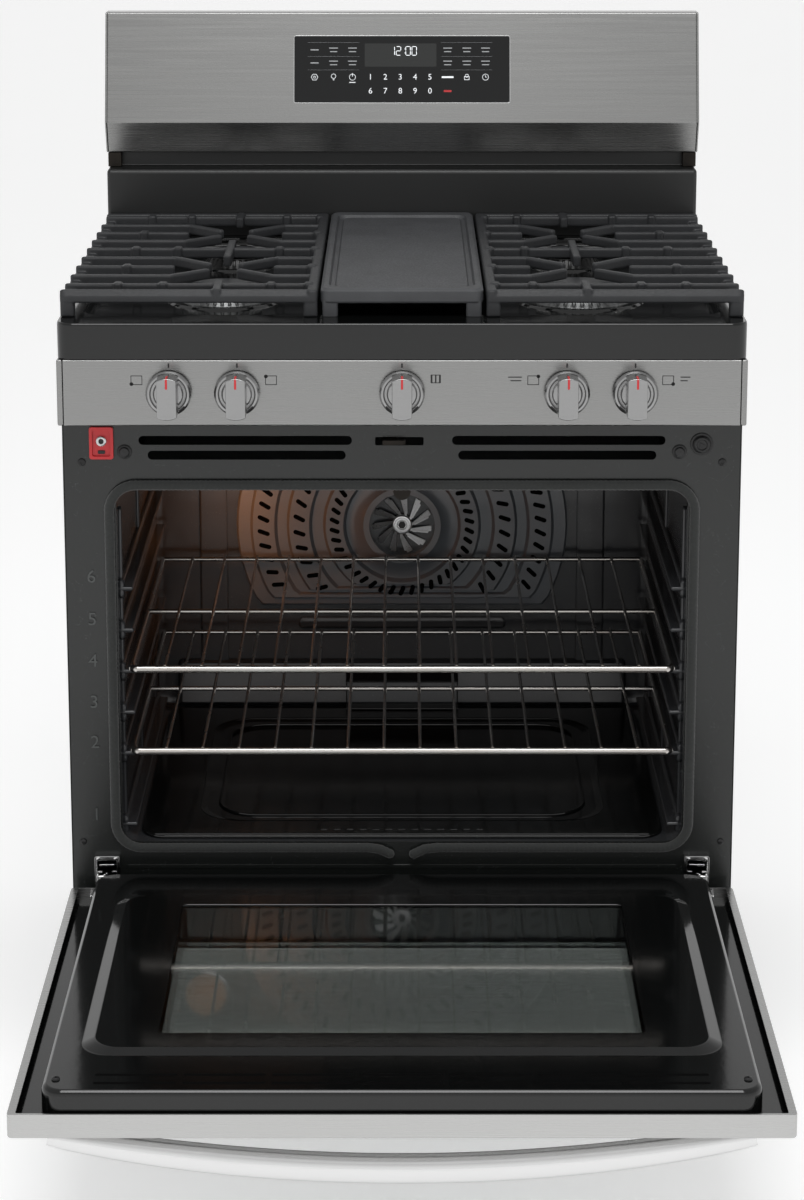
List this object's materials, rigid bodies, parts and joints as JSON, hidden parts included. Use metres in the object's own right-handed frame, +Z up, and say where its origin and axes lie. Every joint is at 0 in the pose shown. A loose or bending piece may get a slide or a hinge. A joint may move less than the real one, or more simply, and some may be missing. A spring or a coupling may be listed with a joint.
{
  "type": "freestanding gas range",
  "caption": "Freestanding gas range: five sealed burners under cast grates and a griddle, slanted backguard, and an oven with a fan, racks, storage drawer and a drop-down door, open.",
  "frame": {"origin": "on the floor, under the centre of the range's box with the oven door open", "axes": "+Z up, +X to the cook's right, the cook stands on the -Y side and the open door reaches towards -Y"},
  "size_m": [0.7588, 1.196, 1.197],
  "materials": {
    "stainless": "brushed lengthways",
    "bright_steel": "bright",
    "black_enamel": "gloss vitreous enamel",
    "grey_enamel": "satin vitreous enamel",
    "cast_iron": "matt enamelled casting",
    "galvanised": "zinc coated sheet",
    "cast_aluminium": "as cast",
    "brass": "machined",
    "dark_glass": "opaque black printed glass",
    "clear_glass": "clear",
    "gasket_fibre": "braided glass fibre",
    "red_plastic": "moulded",
    "black_plastic": "moulded"
  },
  "bodies": {
    "cabinet": {"left_side_panel": "grey_enamel", "right_side_panel": "grey_enamel", "back_panel": "galvanised", "base_frame": "galvanised", "left_front_foot": "black_plastic", "left_rear_foot": "black_plastic", "right_front_foot": "black_plastic", "right_rear_foot": "black_plastic", "oven_liner": "grey_enamel", "oven_floor": "grey_enamel", "door_gasket": "gasket_fibre", "probe_socket": "red_plastic", "backguard_shell": "stainless", "display_glass": "dark_glass", "backguard_riser": "black_enamel", "fan_baffle": "grey_enamel", "fan_motor": "galvanised", "bake_burner": "galvanised", "broil_burner": "galvanised", "oven_lamp": "clear_glass", "cooktop": "black_enamel", "left_front_burner_head": "cast_aluminium", "left_rear_burner_head": "cast_aluminium", "centre_burner_head": "cast_aluminium", "right_rear_burner_head": "cast_aluminium", "right_front_burner_head": "cast_aluminium", "control_panel": "stainless", "gas_manifold": "cast_aluminium", "left_hinge_arm": "galvanised", "right_hinge_arm": "galvanised"},
    "door": {"door_skin": "stainless", "door_liner": "black_enamel", "door_window": "dark_glass", "door_glass": "clear_glass", "door_handle": "bright_steel"},
    "drawer": {"drawer_front": "stainless", "drawer_box": "galvanised"},
    "rack_upper": {"rack_upper": "bright_steel"},
    "rack_lower": {"rack_lower": "bright_steel"},
    "fan": {"convection_fan": "cast_aluminium"},
    "left_grate": {"left_grate": "cast_iron"},
    "right_grate": {"right_grate": "cast_iron"},
    "griddle": {"griddle": "cast_iron"},
    "latch": {"latch_hook": "black_plastic"},
    "switch_plunger": {"door_switch": "black_plastic"},
    "left_front_cap": {"left_front_burner_cap": "cast_iron"},
    "left_front_valve_stem": {"left_front_stem": "brass"},
    "left_front_knob": {"left_front_knob": "bright_steel"},
    "left_rear_cap": {"left_rear_burner_cap": "cast_iron"},
    "left_rear_valve_stem": {"left_rear_stem": "brass"},
    "left_rear_knob": {"left_rear_knob": "bright_steel"},
    "centre_cap": {"centre_burner_cap": "cast_iron"},
    "centre_valve_stem": {"centre_stem": "brass"},
    "centre_knob": {"centre_knob": "bright_steel"},
    "right_rear_cap": {"right_rear_burner_cap": "cast_iron"},
    "right_rear_valve_stem": {"right_rear_stem": "brass"},
    "right_rear_knob": {"right_rear_knob": "bright_steel"},
    "right_front_cap": {"right_front_burner_cap": "cast_iron"},
    "right_front_valve_stem": {"right_front_stem": "brass"},
    "right_front_knob": {"right_front_knob": "bright_steel"}
  },
  "joints": [
    {"name": "oven_door", "type": "hinge", "parent": "cabinet", "child": "door", "pos_m": [0, -0.0475, 0.2465], "axis": [1, 0, 0], "range_deg": [-90, 0]},
    {"name": "drawer_slide", "type": "slide", "parent": "cabinet", "child": "drawer", "axis": [0, -1, 0], "range_m": [0, 0.38]},
    {"name": "rack_upper_slide", "type": "slide", "parent": "cabinet", "child": "rack_upper", "axis": [0, -1, 0], "range_m": [0, 0.3]},
    {"name": "rack_lower_slide", "type": "slide", "parent": "cabinet", "child": "rack_lower", "axis": [0, -1, 0], "range_m": [0, 0.3]},
    {"name": "fan_spin", "type": "hinge", "parent": "cabinet", "child": "fan", "pos_m": [0, 0.47, 0.546], "axis": [0, 1, 0], "continuous": true},
    {"name": "left_grate_lift", "type": "slide", "parent": "cabinet", "child": "left_grate", "axis": [0, 0, 1], "range_m": [0, 0.15]},
    {"name": "right_grate_lift", "type": "slide", "parent": "cabinet", "child": "right_grate", "axis": [0, 0, 1], "range_m": [0, 0.15]},
    {"name": "griddle_lift", "type": "slide", "parent": "cabinet", "child": "griddle", "axis": [0, 0, 1], "range_m": [0, 0.15]},
    {"name": "latch_slide", "type": "slide", "parent": "cabinet", "child": "latch", "axis": [1, 0, 0], "range_m": [0, 0.012]},
    {"name": "switch_press", "type": "slide", "parent": "cabinet", "child": "switch_plunger", "axis": [0, 1, 0], "range_m": [0, 0.0045], "stiffness_N_per_m": 300},
    {"name": "left_front_cap_lift", "type": "slide", "parent": "cabinet", "child": "left_front_cap", "axis": [0, 0, 1], "range_m": [0, 0.006]},
    {"name": "left_front_knob_push", "type": "slide", "parent": "cabinet", "child": "left_front_valve_stem", "axis": [0, 1, 0], "range_m": [0, 0.003], "stiffness_N_per_m": 500},
    {"name": "left_front_knob_turn", "type": "hinge", "parent": "left_front_valve_stem", "child": "left_front_knob", "pos_m": [-0.256, -0.052, 0.838], "axis": [0, -1, 0], "range_deg": [0, 240]},
    {"name": "left_rear_cap_lift", "type": "slide", "parent": "cabinet", "child": "left_rear_cap", "axis": [0, 0, 1], "range_m": [0, 0.006]},
    {"name": "left_rear_knob_push", "type": "slide", "parent": "cabinet", "child": "left_rear_valve_stem", "axis": [0, 1, 0], "range_m": [0, 0.003], "stiffness_N_per_m": 500},
    {"name": "left_rear_knob_turn", "type": "hinge", "parent": "left_rear_valve_stem", "child": "left_rear_knob", "pos_m": [-0.181, -0.052, 0.838], "axis": [0, -1, 0], "range_deg": [0, 240]},
    {"name": "centre_cap_lift", "type": "slide", "parent": "cabinet", "child": "centre_cap", "axis": [0, 0, 1], "range_m": [0, 0.006]},
    {"name": "centre_knob_push", "type": "slide", "parent": "cabinet", "child": "centre_valve_stem", "axis": [0, 1, 0], "range_m": [0, 0.003], "stiffness_N_per_m": 500},
    {"name": "centre_knob_turn", "type": "hinge", "parent": "centre_valve_stem", "child": "centre_knob", "pos_m": [0, -0.052, 0.838], "axis": [0, -1, 0], "range_deg": [0, 240]},
    {"name": "right_rear_cap_lift", "type": "slide", "parent": "cabinet", "child": "right_rear_cap", "axis": [0, 0, 1], "range_m": [0, 0.006]},
    {"name": "right_rear_knob_push", "type": "slide", "parent": "cabinet", "child": "right_rear_valve_stem", "axis": [0, 1, 0], "range_m": [0, 0.003], "stiffness_N_per_m": 500},
    {"name": "right_rear_knob_turn", "type": "hinge", "parent": "right_rear_valve_stem", "child": "right_rear_knob", "pos_m": [0.181, -0.052, 0.838], "axis": [0, -1, 0], "range_deg": [0, 240]},
    {"name": "right_front_cap_lift", "type": "slide", "parent": "cabinet", "child": "right_front_cap", "axis": [0, 0, 1], "range_m": [0, 0.006]},
    {"name": "right_front_knob_push", "type": "slide", "parent": "cabinet", "child": "right_front_valve_stem", "axis": [0, 1, 0], "range_m": [0, 0.003], "stiffness_N_per_m": 500},
    {"name": "right_front_knob_turn", "type": "hinge", "parent": "right_front_valve_stem", "child": "right_front_knob", "pos_m": [0.256, -0.052, 0.838], "axis": [0, -1, 0], "range_deg": [0, 240]}
  ]
}
